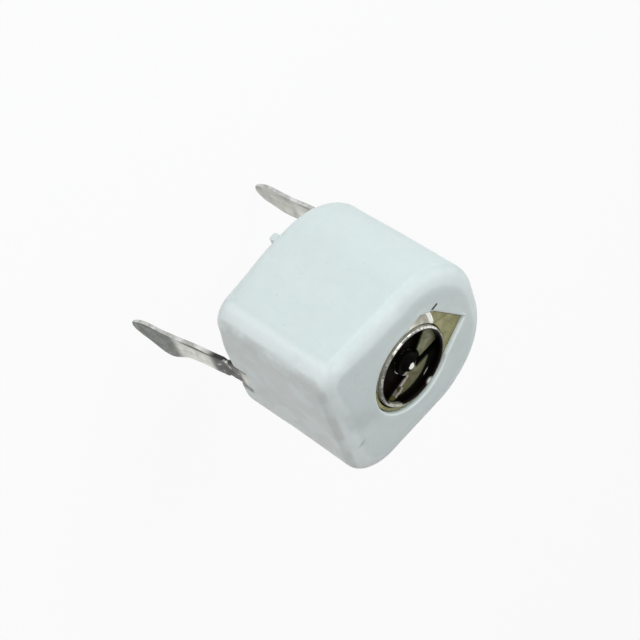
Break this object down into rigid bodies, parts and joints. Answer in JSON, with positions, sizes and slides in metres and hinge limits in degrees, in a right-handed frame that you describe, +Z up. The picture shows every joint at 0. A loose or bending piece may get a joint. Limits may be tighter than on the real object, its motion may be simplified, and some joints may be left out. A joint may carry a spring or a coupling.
{
  "type": "trimmer capacitor",
  "caption": "Small top-adjust trimmer capacitor: white moulded case with a D-shaped outline, a turning metal-rimmed rotor in a teardrop opening and flat blade leads below.",
  "frame": {"origin": "rotor axis where it meets the board seat, the plane of the stand-off feet", "axes": "+Z up the rotor axis, out of the adjusting face; the leads leave along -Z, the rotor's lead at -X and the stator's at +X; the notch of the opening points to +X"},
  "size_m": [0.0066, 0.0056, 0.0092],
  "materials": {
    "case": "satin moulded",
    "base": "matt moulded",
    "brass": "dull, slightly tarnished",
    "lead": "tin plated, drawn sheet",
    "stator_ceramic": "unglazed ceramic",
    "film": "fired silver film",
    "rotor_ceramic": "dark ground ceramic",
    "cup": "bright plated",
    "spring": "spring sheet"
  },
  "bodies": {
    "fixed": {"case": "case", "base": "base", "contact_plate": "brass", "rotor_terminal": "lead", "stator_terminal": "lead", "stator_disc": "stator_ceramic", "stator_film": "film"},
    "rotor": {"rotor_disc": "rotor_ceramic", "rotor_film": "film", "rotor_cup": "cup", "drive_plate": "brass", "rivet": "cup", "retaining_washer": "lead", "spring_washer": "spring"}
  },
  "joints": [
    {"name": "rotor_turn", "type": "hinge", "parent": "fixed", "child": "rotor", "pos_m": [0, 0, 0.005], "axis": [0, 0, 1], "continuous": true}
  ]
}
